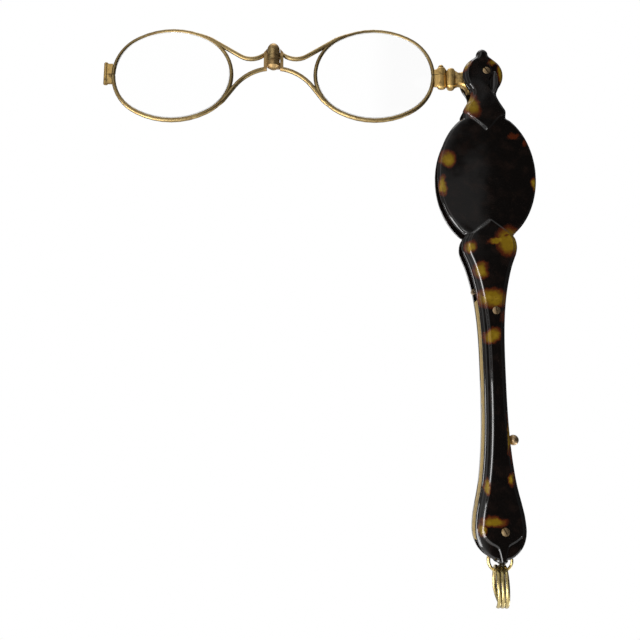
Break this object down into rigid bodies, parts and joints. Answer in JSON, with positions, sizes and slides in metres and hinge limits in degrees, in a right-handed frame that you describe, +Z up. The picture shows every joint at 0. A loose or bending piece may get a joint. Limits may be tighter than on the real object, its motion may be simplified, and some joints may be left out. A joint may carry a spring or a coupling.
{
  "type": "folding lorgnette",
  "caption": "Folding lorgnette: two oval glass eyepieces on a sprung bridge hinge swing down into a slotted tortoiseshell handle with a sliding catch and a hanging split ring.",
  "frame": {"origin": "middle of the handle's grip at its narrowest part, halfway between the two plates, on the line of the screws", "axes": "X along the open frame, away from the eyepieces; Y from the front plate to the back plate; Z up along the handle towards the pivot"},
  "size_m": [0.128, 0.0114, 0.1681],
  "materials": {
    "tortoiseshell": "polished dark brown shell with amber patches",
    "brass": "worn and slightly tarnished",
    "spacer_brass": "dull, brushed along its length",
    "ring_wire": "polished wire",
    "spring_steel": "drawn wire",
    "lens_glass": "clear"
  },
  "bodies": {
    "handle": {"front_plate": "tortoiseshell", "back_plate": "tortoiseshell", "left_spacer": "spacer_brass", "right_spacer": "spacer_brass", "spring_block": "brass", "pivot_screw": "brass", "pivot_nut": "brass", "upper_screw": "brass", "upper_nut": "brass", "lower_screw": "brass", "lower_nut": "brass", "front_washer": "brass", "back_washer": "brass", "ring_pin": "brass"},
    "right_eyepiece": {"hub_arm": "brass", "swing_spring": "spring_steel", "right_rim": "brass", "right_lens": "lens_glass", "right_rim_screw": "brass", "right_hinge_leaf": "brass", "bridge_pin": "spring_steel", "bridge_cap": "brass", "bridge_spring": "spring_steel"},
    "left_eyepiece": {"left_rim": "brass", "left_lens": "lens_glass", "left_hinge_leaf": "brass", "left_end_joint": "brass", "left_rim_screw": "brass"},
    "catch": {"catch_bar": "brass", "catch_button": "brass", "catch_spring": "spring_steel"},
    "small_ring": {"small_ring": "ring_wire"},
    "split_ring": {"split_ring": "ring_wire"}
  },
  "joints": [
    {"name": "frame_swing", "type": "hinge", "parent": "handle", "child": "right_eyepiece", "pos_m": [0, 0, 0.0915], "axis": [0, 1, 0], "range_deg": [-77, 0], "stiffness_Nm_per_rad": 0.012, "springref_deg": 68.75},
    {"name": "bridge_fold", "type": "hinge", "parent": "right_eyepiece", "child": "left_eyepiece", "pos_m": [-0.0634, 0, 0.0965], "axis": [0, 0, 1], "range_deg": [0, 180], "stiffness_Nm_per_rad": 0.003, "springref_deg": -45.84},
    {"name": "catch_slide", "type": "slide", "parent": "handle", "child": "catch", "axis": [0, 0, -1], "range_m": [0, 0.0016], "stiffness_N_per_m": 60, "springref_m": -0.002, "deforming": ["catch_spring"]},
    {"name": "small_ring_swing", "type": "hinge", "parent": "handle", "child": "small_ring", "pos_m": [-0.00095, 0, -0.0465], "axis": [0, 1, 0], "range_deg": [-30, 30]},
    {"name": "split_ring_swing", "type": "hinge", "parent": "small_ring", "child": "split_ring", "pos_m": [-0.00095, 0, -0.0516], "axis": [1, 0, 0], "range_deg": [-15, 15]}
  ]
}
